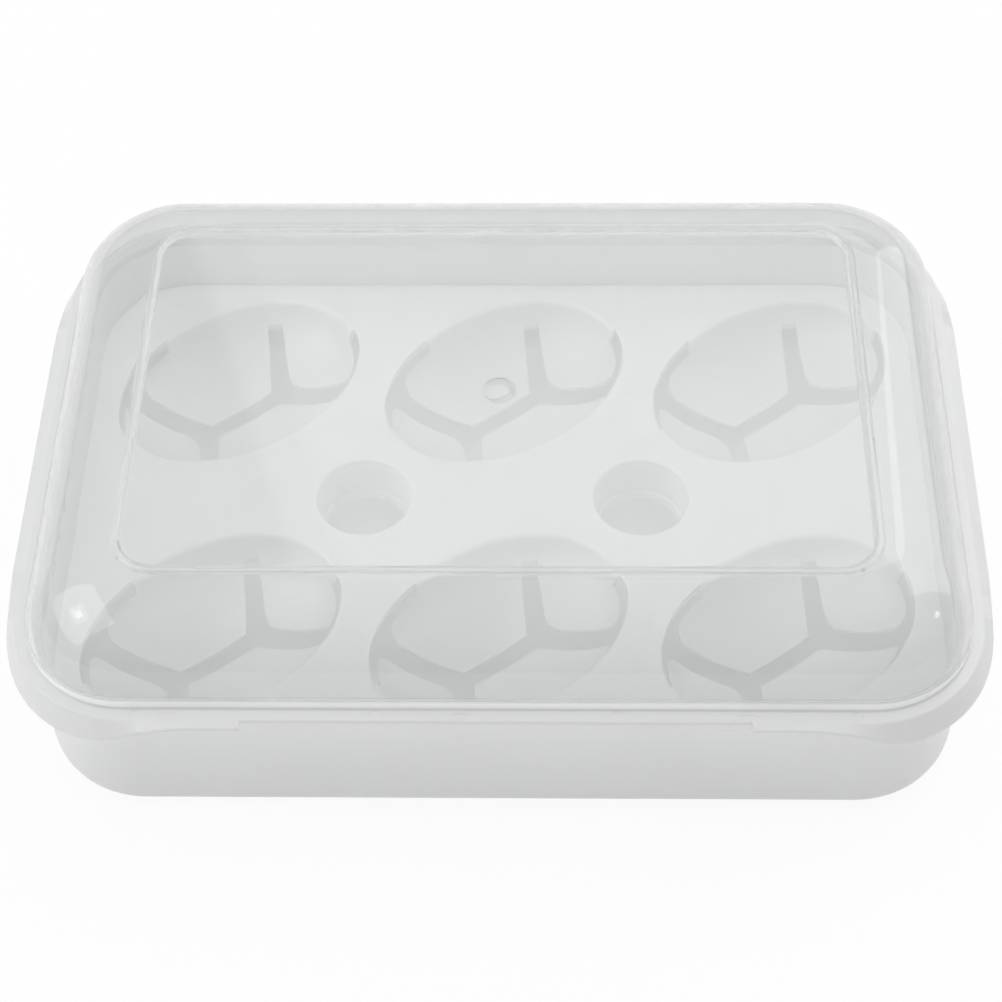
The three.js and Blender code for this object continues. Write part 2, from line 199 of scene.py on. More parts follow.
# Sizes that follow
seat_span_x = math.hypot(SEAT_LENGTH * math.cos(SEAT_TURN), SEAT_BREADTH * math.sin(SEAT_TURN))
seat_span_y = math.hypot(SEAT_LENGTH * math.sin(SEAT_TURN), SEAT_BREADTH * math.cos(SEAT_TURN))
column_pitch = seat_span_x + COLUMN_GAP
row_pitch = seat_span_y + ROW_GAP
rim_length = (SEAT_COLUMNS - 1) * column_pitch + seat_span_x + 2 * END_MARGIN
rim_width = (SEAT_ROWS - 1) * row_pitch + seat_span_y + 2 * SIDE_MARGIN
base_inner_inset = BASE_INSET + BASE_WALL
tray_inset = base_inner_inset + FIT_GAP + TRAY_SKIRT_FLARE
ledge_top = TRAY_TOP - TRAY_SKIRT_DEPTH - FIT_GAP
flange_under = BASE_HEIGHT + FIT_GAP
flange_top = flange_under + FLANGE_THICKNESS
lip_top = flange_top + LIP_RISE
dome_foot = LID_TOP - DOME_RISE
cloudy_below = dome_foot + LID_WALL
clear_above = cloudy_below + LID_WALL
seat_half_length = SEAT_LENGTH / 2 - SEAT_RIM_ROUND
seat_half_breadth = SEAT_BREADTH / 2 - SEAT_RIM_ROUND
seat_widest_height = TRAY_TOP - SEAT_RIM_ROUND
seat_floor = TRAY_TOP - SEAT_DEPTH
tube_foot = TRAY_TOP - TUBE_DEPTH
tube_foot_radius = HOLE_RADIUS - TUBE_TAPER
tube_step = tube_foot + TUBE_STEP_HEIGHT


def quarter_turn(steps):
    """Even angles from nought to a right angle."""
    return [step / steps * math.pi / 2 for step in range(steps + 1)]


def curve(start, corner, end, steps):
    """Points along a curve that leaves start towards the corner and comes to end from it."""
    points = []
    for step in range(steps + 1):
        share = step / steps
        points.append((1 - share) ** 2 * start + 2 * share * (1 - share) * corner + share ** 2 * end)
    return points


def centred(count, pitch):
    """Places at an even pitch about the middle."""
    return [(index - (count - 1) / 2) * pitch for index in range(count)]


# Rings: a rounded rectangle at a height, as (half length, half width, corner radius, height, drop of
# the ears)

def set_in(inset):
    return np.array([rim_length / 2 - inset, rim_width / 2 - inset, RIM_CORNER_RADIUS - inset])


def ring(plan, height, drop=0.0):
    return np.array([*plan, height, drop])


def softened(corners):
    """The rings through a profile's corners, each given with how far from it the rounding starts."""
    rings = []
    for index, (corner, reach) in enumerate(corners):
        if not reach or index in (0, len(corners) - 1):
            rings.append(corner)
            continue
        ends = []
        for other in (corners[index - 1][0], corners[index + 1][0]):
            away = other - corner
            length = math.hypot(away[1], away[3])
            ends.append(corner + away * min(LONGEST_ROUND_SHARE, reach / length))
        rings += curve(ends[0], corner, ends[1], ROUND_STEPS)
    return rings


def ear_share(turn_share, run):
    """How much of the ear's drop a place round a corner takes."""
    lip_radius = RIM_CORNER_RADIUS + LIP_WIDTH
    from_middle = abs(turn_share - 0.5) * lip_radius * math.pi / 2 + abs(run)
    fallen = min(max((from_middle - EAR_FLAT) / (EAR_REACH - EAR_FLAT), 0), 1)
    return (1 + math.cos(math.pi * fallen)) / 2


def corner_places(ear_run):
    """(share of the corner's turn, run along the straight) for each point round one corner."""
    runs = [ear_run * (1 - step / EAR_STEPS) for step in range(EAR_STEPS)] if ear_run else []
    before = [(0.0, -run) for run in runs]
    arc = [(step / CORNER_STEPS, 0.0) for step in range(CORNER_STEPS + 1)]
    after = [(1.0, run) for run in reversed(runs)]
    return before + arc + after


def outline(numbers, ear_run=0.0):
    """The points of a ring, with extra ones along the straights over the run of the ears."""
    half_length, half_width, radius, height, drop = numbers
    points = []
    for corner in range(4):
        middle_x = (1 if corner in (0, 3) else -1) * (half_length - radius)
        middle_y = (1 if corner < 2 else -1) * (half_width - radius)
        for turn_share, run in corner_places(ear_run):
            angle = (corner + turn_share) * math.pi / 2
            out_x, out_y = math.cos(angle), math.sin(angle)
            x = middle_x + radius * out_x - run * out_y
            y = middle_y + radius * out_y + run * out_x
            points.append((x, y, height - drop * ear_share(turn_share, run)))
    return points


def ellipse(half_length, half_breadth, height, sides=SEAT_SIDES):
    points = []
    for side in range(sides):
        angle = side / sides * 2 * math.pi
        points.append((half_length * math.cos(angle), half_breadth * math.sin(angle), height))
    return points


# Bodies

def new_object(name, vertices, faces):
    mesh = bpy.data.meshes.new(name)
    mesh.from_pydata(vertices, [], faces)
    mesh.update()
    obj = bpy.data.objects.new(name, mesh)
    bpy.context.scene.collection.objects.link(obj)
    return obj


def loft(name, outlines, start_height=None):
    """A closed body through a stack of outlines, the first capped facing down, the last facing up."""
    count = len(outlines[0])
    vertices = [point for points in outlines for point in points]
    start = len(vertices)
    end = start + 1
    vertices.append((0, 0, outlines[0][0][2] if start_height is None else start_height))
    vertices.append((0, 0, outlines[-1][0][2]))
    last = (len(outlines) - 1) * count
    faces = []
    for side in range(count):
        follow = (side + 1) % count
        faces.append((start, follow, side))
        faces.append((end, last + side, last + follow))
        for first in range(0, last, count):
            faces.append((first + side, first + follow, first + count + follow, first + count + side))
    return new_object(name, vertices, faces)


def prism(name, points, low, high):
    """A flat outline, counter-clockwise, drawn up from low to high."""
    count = len(points)
    vertices = [(x, y, low) for x, y in points] + [(x, y, high) for x, y in points]
    faces = [tuple(reversed(range(count))), tuple(range(count, 2 * count))]
    for side in range(count):
        follow = (side + 1) % count
        faces.append((side, follow, count + follow, count + side))
    return new_object(name, vertices, faces)


def combine(target, operation, tools):
    """Joins the tools to the target, or cuts them from it, and removes them."""
    for tool in tools:
        modifier = target.modifiers.new(tool.name, "BOOLEAN")
        modifier.operation = operation
        modifier.solver = "MANIFOLD"
        modifier.object = tool
    graph = bpy.context.evaluated_depsgraph_get()
    result = bpy.data.meshes.new_from_object(target.evaluated_get(graph))
    target.modifiers.clear()
    target.data = result
    for tool in tools:
        bpy.data.objects.remove(tool)
    return target


def copy_at(source, name, x, y, turn=0.0):
    obj = bpy.data.objects.new(name, source.data.copy())
    obj.data.transform(Matrix.Translation((x, y, 0)) @ Matrix.Rotation(turn, 4, "Z"))
    bpy.context.scene.collection.objects.link(obj)
    return obj


def close_slivers(mesh):
    """Takes out the faces without breadth that joining and cutting leave."""
    shape = bmesh.new()
    shape.from_mesh(mesh)
    bmesh.ops.remove_doubles(shape, verts=shape.verts, dist=SLIVER)
    bmesh.ops.dissolve_degenerate(shape, edges=shape.edges, dist=SLIVER)
    shape.to_mesh(mesh)
    shape.free()


def finish_piece(obj, body, node, material):
    """Smooths a piece's shading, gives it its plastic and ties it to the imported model."""
    close_slivers(obj.data)
    obj.data.shade_smooth()
    obj.data.set_sharp_from_angle(angle=SHARP_ANGLE)
    weighted = obj.modifiers.new("weighted_normals", "WEIGHTED_NORMAL")
    weighted.keep_sharp = True
    obj.data.materials.clear()
    obj.data.materials.append(material)
    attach(obj, body)
    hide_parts(node)


# Base

def base_piece():
    lower_inset = BASE_INSET + RIM_BAND_PROUD
    inner_inset = base_inner_inset + LEDGE_WIDTH
    rings = []
    for angle in quarter_turn(FILLET_STEPS):
        plan = set_in(lower_inset + BASE_FILLET * (1 - math.sin(angle)))
        rings.append(ring(plan, BASE_FILLET * (1 - math.cos(angle))))
    wall = [
        (ring(set_in(lower_inset), BASE_FILLET), 0),
        (ring(set_in(lower_inset), BASE_HEIGHT - RIM_BAND_HEIGHT), EDGE_ROUND),
        (ring(set_in(BASE_INSET), BASE_HEIGHT - RIM_BAND_HEIGHT + RIM_BAND_PROUD), EDGE_ROUND),
        (ring(set_in(BASE_INSET), BASE_HEIGHT), EDGE_ROUND),
        (ring(set_in(base_inner_inset), BASE_HEIGHT), EDGE_ROUND),
        (ring(set_in(base_inner_inset), ledge_top), EDGE_ROUND),
        (ring(set_in(inner_inset), ledge_top), EDGE_ROUND),
        (ring(set_in(inner_inset), BASE_FLOOR + BASE_INNER_FILLET), 0),
    ]
    rings += softened(wall)[1:-1]
    for angle in reversed(quarter_turn(FILLET_STEPS)):
        plan = set_in(inner_inset + BASE_INNER_FILLET * (1 - math.sin(angle)))
        rings.append(ring(plan, BASE_FLOOR + BASE_INNER_FILLET * (1 - math.cos(angle))))
    body = loft("base_tub", [outline(numbers) for numbers in rings])
    return combine(body, "DIFFERENCE", [notch_cutter()])


def notch_cutter():
    """A blind notch outside the back wall, wider at the rim, with a web of the wall left behind it."""
    slope = (NOTCH_WIDTH - NOTCH_FOOT_WIDTH) / 2 / NOTCH_DEPTH
    half_top = NOTCH_WIDTH / 2 + slope * CUT_OVERRUN
    low = BASE_HEIGHT - NOTCH_DEPTH
    high = BASE_HEIGHT + CUT_OVERRUN
    half_foot = NOTCH_FOOT_WIDTH / 2
    points = [(-half_foot, -low), (-half_top, -high), (half_top, -high), (half_foot, -low)]
    back = rim_width / 2 - BASE_INSET + CUT_OVERRUN
    cutter = prism("notch_cutter", points, back - CUT_OVERRUN - BASE_WALL + NOTCH_WEB, back)
    cutter.data.transform(Matrix.Rotation(-math.pi / 2, 4, "X"))
    return cutter


# Egg tray

def bowl_outlines(half_length, half_breadth, depth, widest_height):
    outlines = []
    for angle in quarter_turn(SEAT_STEPS)[1:]:
        share = math.sin(angle)
        height = widest_height - depth * math.cos(angle)
        outlines.append(ellipse(half_length * share, half_breadth * share, height))
    return outlines


def seat_outside():
    half_length = seat_half_length + SEAT_WALL
    half_breadth = seat_half_breadth + SEAT_WALL
    depth = seat_widest_height - seat_floor + SEAT_WALL
    outlines = bowl_outlines(half_length, half_breadth, depth, TRAY_TOP - TRAY_PLATE)
    outlines.append(ellipse(half_length, half_breadth, TRAY_TOP - TRAY_PLATE / 2))
    return loft("seat_outside", outlines, start_height=seat_floor - SEAT_WALL)


def seat_inside():
    depth = seat_widest_height - seat_floor
    outlines = bowl_outlines(seat_half_length, seat_half_breadth, depth, seat_widest_height)
    for angle in quarter_turn(ROUND_STEPS)[1:]:
        out = SEAT_RIM_ROUND * (1 - math.cos(angle))
        height = seat_widest_height + SEAT_RIM_ROUND * math.sin(angle)
        outlines.append(ellipse(seat_half_length + out, seat_half_breadth + out, height))
    mouth_half_length = seat_half_length + SEAT_RIM_ROUND
    mouth_half_breadth = seat_half_breadth + SEAT_RIM_ROUND
    outlines.append(ellipse(mouth_half_length, mouth_half_breadth, TRAY_TOP + CUT_OVERRUN))
    return loft("seat_inside", outlines, start_height=seat_floor)


def seat_place(shares):
    return Vector((shares[0] * seat_half_length, shares[1] * seat_half_breadth))


def straight_slot(start, end, start_breadth, end_breadth):
    """The two sides of a straight slot, right and left of the way from start to end."""
    onward = (end - start).normalized()
    sideways = Vector((-onward.y, onward.x))
    right = (start - sideways * start_breadth / 2, end - sideways * end_breadth / 2)
    left = (start + sideways * start_breadth / 2, end + sideways * end_breadth / 2)
    return right, left


def rim_place(share, angle):
    """The place at a share of the seat's half length and half breadth, in the direction of an angle."""
    direction = Vector((math.cos(angle), math.sin(angle)))
    reach = math.hypot(direction.x / seat_half_length, direction.y / seat_half_breadth)
    return direction * (share / reach)


def rim_slot_points():
    turn = RIM_SLOT_END - RIM_SLOT_START
    angles = [RIM_SLOT_START + turn * step / RIM_SLOT_STEPS for step in range(RIM_SLOT_STEPS + 1)]
    outer = [rim_place(RIM_SLOT_OUTER_SHARE, angle) for angle in angles]
    inner = [rim_place(RIM_SLOT_INNER_SHARE, angle) for angle in reversed(angles)]
    return outer + inner


def meeting(first, second):
    """Where two lines meet, each given by two of its points."""
    along_first = first[1] - first[0]
    along_second = second[1] - second[0]
    apart = second[0] - first[0]
    return first[0] + along_first * (apart.cross(along_second) / along_first.cross(along_second))


def meeting_rim(line):
    """Where a line from inside the seat meets the inner edge of the slot that follows its rim."""
    scale = Vector((seat_half_length, seat_half_breadth)) * RIM_SLOT_INNER_SHARE
    start = Vector((line[0].x / scale.x, line[0].y / scale.y))
    onward = Vector(((line[1].x - line[0].x) / scale.x, (line[1].y - line[0].y) / scale.y))
    across = start.cross(onward)
    forward = math.sqrt(onward.length_squared - across ** 2) - start.dot(onward)
    return line[0] + (line[1] - line[0]) * (forward / onward.length_squared)


def round_points(in_slots, start, corner, end):
    """The wedge between points in the slots and a petal's corner, which it rounds from start to end."""
    return [*in_slots, *curve(start, corner, end, CURVE_STEPS)]


def tip_round_points(side, branch_end, turn):
    """The round of a petal's corner between one side of the arc branch and the slot along the rim."""
    corner = meeting_rim(side)
    along_branch = corner + (side[0] - side[1]).normalized() * PETAL_TIP_ROUND
    angle = math.atan2(corner.y, corner.x) + turn * PETAL_TIP_ROUND / corner.length
    along_rim = rim_place(RIM_SLOT_INNER_SHARE, angle)
    in_rim_slot = rim_place(1, angle)
    if turn > 0:
        return round_points([branch_end, in_rim_slot], along_rim, corner, along_branch)
    return round_points([in_rim_slot, branch_end], along_branch, corner, along_rim)


def half_slots():
    """Half of a seat's slots; the other half is the same turned half round."""
    junction = seat_place((JUNCTION_SHARE, 0))
    open_end = seat_place(OPEN_BRANCH_SHARES)
    arc_end = seat_place(ARC_BRANCH_SHARES)
    overlap = junction + junction.normalized() * LINK_BREADTH / 2
    behind = -junction * JUNCTION_SHARE
    link = straight_slot(behind, overlap, LINK_BREADTH, LINK_BREADTH)
    open_branch = straight_slot(junction, open_end, OPEN_BRANCH_BREADTH, OPEN_BRANCH_END_BREADTH)
    arc_branch = straight_slot(junction, arc_end, ARC_BRANCH_BREADTH, ARC_BRANCH_BREADTH)
    corner = meeting(open_branch[0], arc_branch[1])
    on_open = corner + (open_branch[0][1] - corner).normalized() * PETAL_ROUND
    on_arc = corner + (arc_branch[1][1] - corner).normalized() * PETAL_ROUND
    shapes = [[*right, *reversed(left)] for right, left in (link, open_branch, arc_branch)]
    shapes.append(rim_slot_points())
    shapes.append(round_points([junction], on_arc, corner, on_open))
    shapes.append(tip_round_points(arc_branch[1], arc_end, 1))
    shapes.append(tip_round_points(arc_branch[0], arc_end, -1))
    low = seat_floor - SEAT_WALL - CUT_OVERRUN
    high = TRAY_TOP + CUT_OVERRUN
    cutters = [prism(f"slot_{index}", points, low, high) for index, points in enumerate(shapes)]
    return combine(cutters[0], "UNION", cutters[1:])


def round_outlines(places):
    return [ellipse(radius, radius, height, HOLE_SIDES) for radius, height in places]


def tube_body():
    """The outside of a finger hole's tube, up into the plate."""
    return loft("tube", round_outlines([
        (tube_foot_radius - TUBE_STEP_IN + TUBE_WALL, tube_foot),
        (tube_foot_radius - TUBE_STEP_IN + TUBE_WALL, tube_step),
        (tube_foot_radius + TUBE_WALL, tube_step + TUBE_STEP_IN),
        (HOLE_RADIUS + TUBE_WALL, TRAY_TOP - TRAY_PLATE / 2),
    ]))


def bore_body():
    """The inside of a finger hole, with its rounded rim."""
    places = [
        (tube_foot_radius - TUBE_STEP_IN, tube_foot - CUT_OVERRUN),
        (tube_foot_radius - TUBE_STEP_IN, tube_step),
        (tube_foot_radius, tube_step + TUBE_STEP_IN),
        (HOLE_RADIUS, TRAY_TOP - HOLE_RIM_ROUND),
    ]
    for angle in quarter_turn(ROUND_STEPS)[1:]:
        radius = HOLE_RADIUS + HOLE_RIM_ROUND * (1 - math.cos(angle))
        places.append((radius, TRAY_TOP - HOLE_RIM_ROUND * (1 - math.sin(angle))))
    places.append((HOLE_RADIUS + HOLE_RIM_ROUND, TRAY_TOP + CUT_OVERRUN))
    return loft("bore", round_outlines(places))


def tray_plate():
    skirt_foot = TRAY_TOP - TRAY_SKIRT_DEPTH
    foot_inset = tray_inset - TRAY_SKIRT_FLARE
    corners = [
        (ring(set_in(tray_inset + TRAY_PLATE), TRAY_TOP - TRAY_PLATE), 0),
        (ring(set_in(foot_inset + TRAY_PLATE), skirt_foot), EDGE_ROUND),
        (ring(set_in(foot_inset), skirt_foot), EDGE_ROUND),
        (ring(set_in(tray_inset), TRAY_TOP), TRAY_EDGE_ROUND),
        (ring(set_in(tray_inset + 2 * TRAY_EDGE_ROUND), TRAY_TOP), 0),
    ]
    return loft("egg_tray_moulding", [outline(numbers) for numbers in softened(corners)])


def tray_piece():
    tray = tray_plate()
    outside = seat_outside()
    half = half_slots()
    other_half = copy_at(half, "other_slots", 0, 0, math.pi)
    inside = combine(seat_inside(), "UNION", [half, other_half])
    tube = tube_body()
    bore = bore_body()
    added, cut = [], []
    for column, x in enumerate(centred(SEAT_COLUMNS, column_pitch)):
        for row, y in enumerate(centred(SEAT_ROWS, row_pitch)):
            added.append(copy_at(outside, f"seat_{column}_{row}", x, y, SEAT_TURN))
            cut.append(copy_at(inside, f"hollow_{column}_{row}", x, y, SEAT_TURN))
    for gap, x in enumerate(centred(SEAT_COLUMNS - 1, column_pitch)):
        added.append(copy_at(tube, f"tube_{gap}", x, 0))
        cut.append(copy_at(bore, f"bore_{gap}", x, 0))
    for source in (outside, inside, tube, bore):
        bpy.data.objects.remove(source)
    combine(tray, "UNION", added)
    return combine(tray, "DIFFERENCE", cut)


# Lid

def lid_piece():
    ear_run = EAR_REACH - (RIM_CORNER_RADIUS + LIP_WIDTH) * math.pi / 4
    crown = np.array([
        rim_length / 2 - DOME_INSET - DOME_ROUND_ENDS,
        rim_width / 2 - DOME_INSET - DOME_ROUND_SIDES,
        CROWN_CORNER_RADIUS,
    ])

    def dome(foot, top):
        rings = []
        for angle in quarter_turn(DOME_STEPS):
            plan = foot + (crown - foot) * (1 - math.cos(angle))
            rings.append(ring(plan, dome_foot + (top - dome_foot) * math.sin(angle)))
        return rings

    plug_outer = base_inner_inset + FIT_GAP
    plug_inner = plug_outer + PLUG_WALL
    inner_foot = set_in(DOME_INSET + LID_WALL)
    flange = [
        (ring(inner_foot, dome_foot), 0),
        (ring(inner_foot, dome_foot - EDGE_ROUND), EDGE_ROUND),
        (ring(set_in(plug_inner), flange_top), EDGE_ROUND),
        (ring(set_in(plug_inner), flange_under - PLUG_DEPTH), EDGE_ROUND),
        (ring(set_in(plug_outer), flange_under - PLUG_DEPTH), EDGE_ROUND),
        (ring(set_in(plug_outer), flange_under), EDGE_ROUND),
        (ring(set_in(0), flange_under), EDGE_ROUND),
        (ring(set_in(-LIP_WIDTH), lip_top - FLANGE_THICKNESS, EAR_DROP), EDGE_ROUND),
        (ring(set_in(-LIP_WIDTH), lip_top, EAR_DROP), EDGE_ROUND),
        (ring(set_in(0), flange_top), EDGE_ROUND),
        (ring(set_in(DOME_INSET), flange_top), EDGE_ROUND),
        (ring(set_in(DOME_INSET), dome_foot), 0),
    ]
    bead = [
        (ring(crown, LID_TOP), 0),
        (ring(crown, LID_TOP), 0),
        (ring(crown - BEAD_SLOPE, LID_TOP + BEAD_HEIGHT), EDGE_ROUND),
        (ring(crown - BEAD_WIDTH + BEAD_SLOPE, LID_TOP + BEAD_HEIGHT), EDGE_ROUND),
        (ring(crown - BEAD_WIDTH, LID_TOP), EDGE_ROUND),
        (ring(crown - 2 * BEAD_WIDTH, LID_TOP), 0),
    ]
    rings = list(reversed(dome(inner_foot, LID_TOP - LID_WALL)))
    rings += softened(flange)[1:-1]
    rings += dome(set_in(DOME_INSET), LID_TOP)
    rings += softened(bead)[2:]
    body = loft("lid_moulding", [outline(numbers, ear_run) for numbers in rings])
    return combine(body, "DIFFERENCE", [lip_gap_cutter(), dimple_cutter(), *mark_cutters()])


def lip_gap_cutter():
    """The lip is left off along the middle of the front."""
    half = LIP_GAP_WIDTH / 2
    front = -rim_width / 2
    beyond = front - LIP_WIDTH - CUT_OVERRUN
    points = [(-half, beyond), (half, beyond), (half, front), (-half, front)]
    return prism("lip_gap", points, flange_under - CUT_OVERRUN, lip_top + CUT_OVERRUN)


def dimple_cutter():
    """The shallow dimple that the mould's gate leaves in the middle of the lid's top."""
    places = []
    for angle in quarter_turn(CURVE_STEPS)[1:]:
        places.append((DIMPLE_RADIUS * math.sin(angle), LID_TOP - DIMPLE_DEPTH * math.cos(angle)))
    places.append((DIMPLE_RADIUS, LID_TOP + CUT_OVERRUN))
    return loft("dimple", round_outlines(places), start_height=LID_TOP - DIMPLE_DEPTH)


def mark_cutters():
    """Shallow round and long marks along the front of the flange."""
    marks = [(x, ROUND_MARK_RADIUS, ROUND_MARK_RADIUS) for x in ROUND_MARK_PLACES]
    marks += [(x, LONG_MARK_LENGTH / 2, LONG_MARK_BREADTH / 2) for x in LONG_MARK_PLACES]
    front = (DOME_INSET - rim_width) / 2
    heights = (flange_top - MARK_DEPTH, flange_top + LIP_RISE)
    cutters = []
    for index, (x, half_length, half_breadth) in enumerate(marks):
        outlines = [ellipse(half_length, half_breadth, height, HOLE_SIDES) for height in heights]
        mark = loft(f"mark_{index}", outlines)
        mark.data.transform(Matrix.Translation((x, front, 0)))
        cutters.append(mark)
    return cutters


# Materials

def graded(tree, value, start, end, start_result, end_result):
    """A result that runs evenly between two others as a value runs from start to end."""
    grade = tree.nodes.new("ShaderNodeMapRange")
    grade.inputs["From Min"].default_value = start
    grade.inputs["From Max"].default_value = end
    grade.inputs["To Min"].default_value = start_result
    grade.inputs["To Max"].default_value = end_result
    tree.links.new(value, grade.inputs["Value"])
    return grade.outputs["Result"]


def maths(tree, operation, *values):
    """The result of a Math node on values that are other nodes' outputs or plain numbers."""
    node = tree.nodes.new("ShaderNodeMath")
    node.operation = operation
    for value, socket in zip(values, node.inputs):
        if isinstance(value, (int, float)):
            socket.default_value = value
        else:
            tree.links.new(value, socket)
    return node.outputs[0]


def mix_to_output(tree, share, first, second, output):
    """Sends two shaders to a tree's output node, the second by a share and the first by the rest."""
    mix = tree.nodes.new("ShaderNodeMixShader")
    tree.links.new(share, mix.inputs["Fac"])
    tree.links.new(first, mix.inputs[1])
    tree.links.new(second, mix.inputs[2])
    tree.links.new(mix.outputs["Shader"], tree.nodes[output].inputs["Surface"])


def facing_up(tree):
    """How far the surface faces up or down: its true normal's share along Z."""
    surface = tree.nodes.new("ShaderNodeNewGeometry")
    normal = tree.nodes.new("ShaderNodeSeparateXYZ")
    tree.links.new(surface.outputs["True Normal"], normal.inputs["Vector"])
    return normal.outputs["Z"]


def base_painted_light_and_shade(tree, height):
    """Painted shade makes the tub's walls greyer towards their foot, and painted light makes its floor
    lighter.
    """
    walls = graded(tree, height, 0, BASE_HEIGHT, BASE_FOOT_PAINTED_SHADE, 1)
    floor = graded(tree, facing_up(tree), *BASE_FLOOR_TILTS, 1, BASE_FLOOR_PAINTED_LIGHT)
    return maths(tree, "MULTIPLY", walls, floor)


def tray_painted_light(tree, _height):
    """Painted light makes upright faces, as on the petals' edges and the finger holes' tubes, whiter
    than the rest.
    """
    tilt = maths(tree, "ABSOLUTE", facing_up(tree))
    return graded(tree, tilt, *UPRIGHT_TILTS, UPRIGHT_PAINTED_LIGHT, 1)


def lid_painted_light_and_shade(tree, height):
    """Painted shade makes the lid's flange and lip greyer than its dome, and painted light makes the
    cloudy foot of the dome lighter.
    """
    flange = graded(tree, height, lip_top, dome_foot, FLANGE_PAINTED_SHADE, 1)
    foot = graded(tree, height, cloudy_below, clear_above, DOME_FOOT_PAINTED_LIGHT, 1)
    return maths(tree, "MULTIPLY", flange, foot)


def lid_transmission(tree, height):
    """The lid's flange and lip are cloudy, and its dome is clear."""
    return graded(tree, height, cloudy_below, clear_above, FLANGE_TRANSMISSION, DOME_TRANSMISSION)


def plastic(
    name, painted_light_and_shade, colour, transmission, roughness, haze_scale, haze_depth, lamp_share, cloud_reach=0.0
):
    """Moulded polypropylene: partly clear, partly cloudy, with a faint unevenness in cloud and gloss.

    The painted light and shade is a function of the tree and the height, and so is the transmission
    where it varies.
    Lamps shine through by the lamp share, and light spreads inside the wall over the cloud's reach.
    """
    material = bpy.data.materials.new(name)
    material.use_nodes = True
    tree = material.node_tree
    nodes, links = tree.nodes, tree.links
    shader = nodes["Principled BSDF"]
    shader.inputs["IOR"].default_value = PLASTIC_IOR
    if cloud_reach:
        shader.inputs["Subsurface Weight"].default_value = 1
        shader.inputs["Subsurface Radius"].default_value = (1, 1, 1)
        shader.inputs["Subsurface Scale"].default_value = cloud_reach
    place = nodes.new("ShaderNodeTexCoord")
    axes = nodes.new("ShaderNodeSeparateXYZ")
    links.new(place.outputs["Object"], axes.inputs["Vector"])
    height = axes.outputs["Z"]
    if callable(transmission):
        links.new(transmission(tree, height), shader.inputs["Transmission Weight"])
    else:
        shader.inputs["Transmission Weight"].default_value = transmission
    noise = nodes.new("ShaderNodeTexNoise")
    noise.inputs["Scale"].default_value = haze_scale
    noise.inputs["Detail"].default_value = HAZE_DETAIL
    links.new(place.outputs["Object"], noise.inputs["Vector"])
    haze = graded(tree, noise.outputs["Fac"], 0, 1, 1 - haze_depth, 1)
    tint = nodes.new("ShaderNodeMix")
    tint.data_type = "RGBA"
    tint.blend_type = "MULTIPLY"
    tint.inputs["Factor"].default_value = 1
    tint.inputs["A"].default_value = (*colour, 1)
    # Haze and painted light and shade multiply the colour
    links.new(maths(tree, "MULTIPLY", haze, painted_light_and_shade(tree, height)), tint.inputs["B"])
    links.new(tint.outputs["Result"], shader.inputs["Base Color"])
    glossiest, dullest = roughness * (1 - GLOSS_SPREAD), roughness * (1 + GLOSS_SPREAD)
    links.new(graded(tree, noise.outputs["Fac"], 0, 1, glossiest, dullest), shader.inputs["Roughness"])
    shadow_ray = nodes.new("ShaderNodeLightPath").outputs["Is Shadow Ray"]
    clear = nodes.new("ShaderNodeBsdfTransparent")
    clear.inputs["Color"].default_value = (lamp_share, lamp_share, lamp_share, 1)
    mix_to_output(tree, shadow_ray, shader.outputs["BSDF"], clear.outputs["BSDF"], "Material Output")
    return material


# Stage

def floor_material():
    material = bpy.data.materials.new("pale_floor")
    material.use_nodes = True
    tree = material.node_tree
    nodes = tree.nodes
    nodes.remove(nodes["Principled BSDF"])
    paper = nodes.new("ShaderNodeBsdfDiffuse")
    paper.inputs["Color"].default_value = (PAPER_TONE, PAPER_TONE, PAPER_TONE, 1)
    white = nodes.new("ShaderNodeEmission")
    white.inputs["Strength"].default_value = 1
    path = nodes.new("ShaderNodeLightPath").outputs
    in_plastic = maths(tree, "MAXIMUM", path["Is Glossy Ray"], path["Is Transmission Ray"])
    fainter = maths(tree, "MULTIPLY", in_plastic, FLOOR_GLOW_IN_PLASTIC)
    glow = maths(tree, "MULTIPLY_ADD", path["Is Camera Ray"], FLOOR_GLOW, fainter)
    mix_to_output(tree, glow, paper.outputs["BSDF"], white.outputs["Emission"], "Material Output")
    return material


def build_stage():
    reach = FLOOR_REACH
    points = [(-reach, -reach), (reach, -reach), (reach, reach), (-reach, reach)]
    floor = new_object("floor", [(x, y, 0) for x, y in points], [(0, 1, 2, 3)])
    floor.data.materials.append(floor_material())


def build_world():
    """A graded dome lights the box; seen directly or through the plastic, it is plain white."""
    world = bpy.data.worlds.new("studio")
    bpy.context.scene.world = world
    world.use_nodes = True
    tree = world.node_tree
    nodes, links = tree.nodes, tree.links
    light = nodes["Background"]
    light.inputs["Color"].default_value = (1, 1, 1, 1)
    place = nodes.new("ShaderNodeTexCoord")
    axes = nodes.new("ShaderNodeSeparateXYZ")
    links.new(place.outputs["Generated"], axes.inputs["Vector"])
    links.new(graded(tree, axes.outputs["Z"], 0, 1, SKY_LOW, SKY_HIGH), light.inputs["Strength"])
    white = nodes.new("ShaderNodeBackground")
    white.inputs["Color"].default_value = (1, 1, 1, 1)
    white.inputs["Strength"].default_value = 1
    path = nodes.new("ShaderNodeLightPath").outputs
    seen = maths(tree, "MAXIMUM", path["Is Camera Ray"], path["Is Transmission Ray"])
    mix_to_output(tree, seen, light.outputs["Background"], white.outputs["Background"], "World Output")


